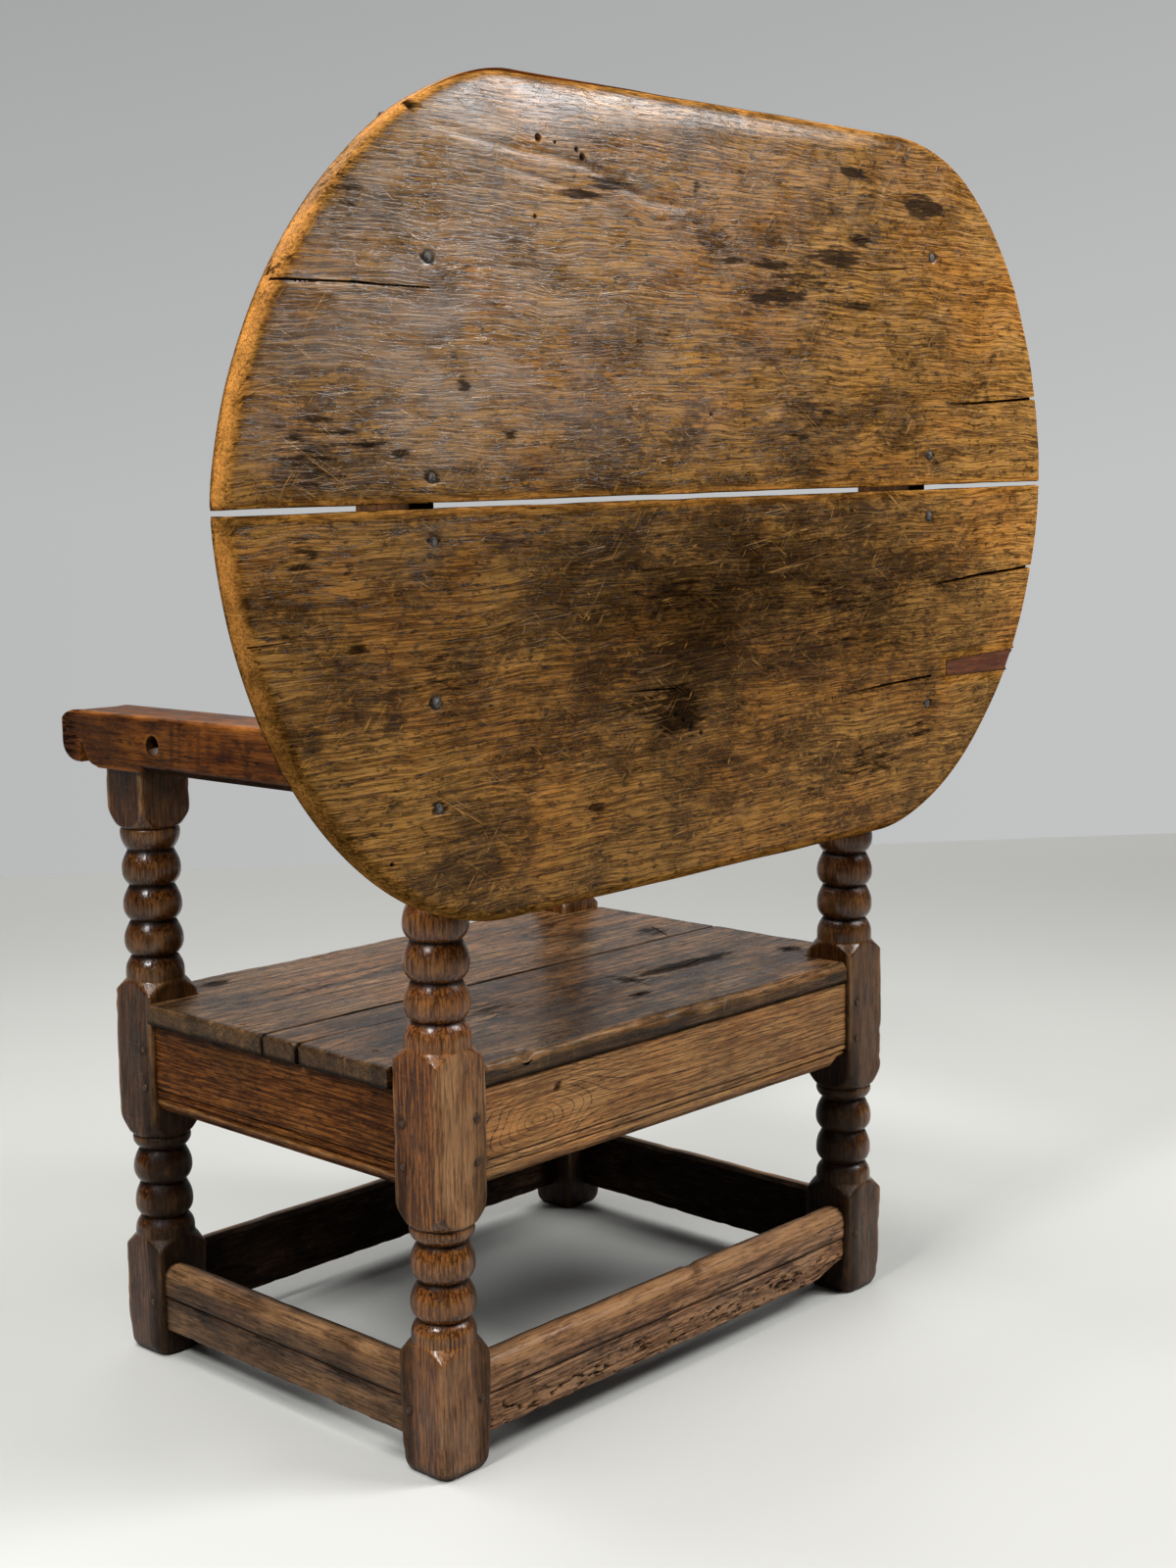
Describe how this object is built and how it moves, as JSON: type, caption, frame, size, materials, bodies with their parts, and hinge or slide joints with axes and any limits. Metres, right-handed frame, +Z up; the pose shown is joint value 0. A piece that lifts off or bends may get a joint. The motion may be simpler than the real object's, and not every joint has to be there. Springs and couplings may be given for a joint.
{
  "type": "monks bench table",
  "caption": "Oak bench with arms and bobbin-turned legs, whose rounded plank top stands upright as a back and tilts on pivot pegs to lie level as a table.",
  "frame": {"origin": "on the floor, at the middle of the bounding box in plan, with the top upright", "axes": "+Z up, the sitter faces -Y, the upright top is on the +Y side, +X is the sitter's left"},
  "size_m": [1.2638, 0.6644, 1.3644],
  "materials": {
    "frame_oak": "waxed dark brown oak, turned and worn",
    "seat_oak": "grey-brown oak, polished by use",
    "arm_oak": "waxed reddish-brown oak",
    "peg_oak": "dark oak end grain",
    "top_oak": "mottled golden-brown oak, satin wax, scratched and stained",
    "cleat_oak": "plain dark oak",
    "patch_oak": "reddish repair slip",
    "nail_iron": "dark forged iron"
  },
  "bodies": {
    "frame": {"front_left_leg": "frame_oak", "front_right_leg": "frame_oak", "rear_left_leg": "frame_oak", "rear_right_leg": "frame_oak", "front_rail": "frame_oak", "rear_rail": "frame_oak", "left_rail": "frame_oak", "right_rail": "frame_oak", "front_stretcher": "frame_oak", "rear_stretcher": "frame_oak", "left_stretcher": "frame_oak", "right_stretcher": "frame_oak", "front_seat_board": "seat_oak", "rear_seat_board": "seat_oak", "left_arm": "arm_oak", "right_arm": "arm_oak", "left_pivot_peg": "peg_oak", "right_pivot_peg": "peg_oak", "rail_peg_upper_front_left_long": "peg_oak", "rail_peg_lower_front_left_long": "peg_oak", "rail_peg_upper_front_left_side": "peg_oak", "rail_peg_lower_front_left_side": "peg_oak", "rail_peg_upper_front_right_long": "peg_oak", "rail_peg_lower_front_right_long": "peg_oak", "rail_peg_upper_front_right_side": "peg_oak", "rail_peg_lower_front_right_side": "peg_oak", "rail_peg_upper_rear_left_long": "peg_oak", "rail_peg_lower_rear_left_long": "peg_oak", "rail_peg_upper_rear_left_side": "peg_oak", "rail_peg_lower_rear_left_side": "peg_oak", "rail_peg_upper_rear_right_long": "peg_oak", "rail_peg_lower_rear_right_long": "peg_oak", "rail_peg_upper_rear_right_side": "peg_oak", "rail_peg_lower_rear_right_side": "peg_oak", "stretcher_peg_front_left_long": "peg_oak", "stretcher_peg_front_left_side": "peg_oak", "stretcher_peg_front_right_long": "peg_oak", "stretcher_peg_front_right_side": "peg_oak", "stretcher_peg_rear_left_long": "peg_oak", "stretcher_peg_rear_left_side": "peg_oak", "stretcher_peg_rear_right_long": "peg_oak", "stretcher_peg_rear_right_side": "peg_oak"},
    "top": {"upper_top_board": "top_oak", "lower_top_board": "top_oak", "edge_patch": "patch_oak", "left_cleat": "cleat_oak", "right_cleat": "cleat_oak", "nail_left_1": "nail_iron", "nail_left_2": "nail_iron", "nail_left_3": "nail_iron", "nail_left_4": "nail_iron", "nail_left_5": "nail_iron", "nail_right_1": "nail_iron", "nail_right_2": "nail_iron", "nail_right_3": "nail_iron", "nail_right_4": "nail_iron"}
  },
  "joints": [
    {"name": "top_tilt", "type": "hinge", "parent": "frame", "child": "top", "pos_m": [0, 0.27525, 0.7035], "axis": [1, 0, 0], "range_deg": [0, 90]}
  ]
}
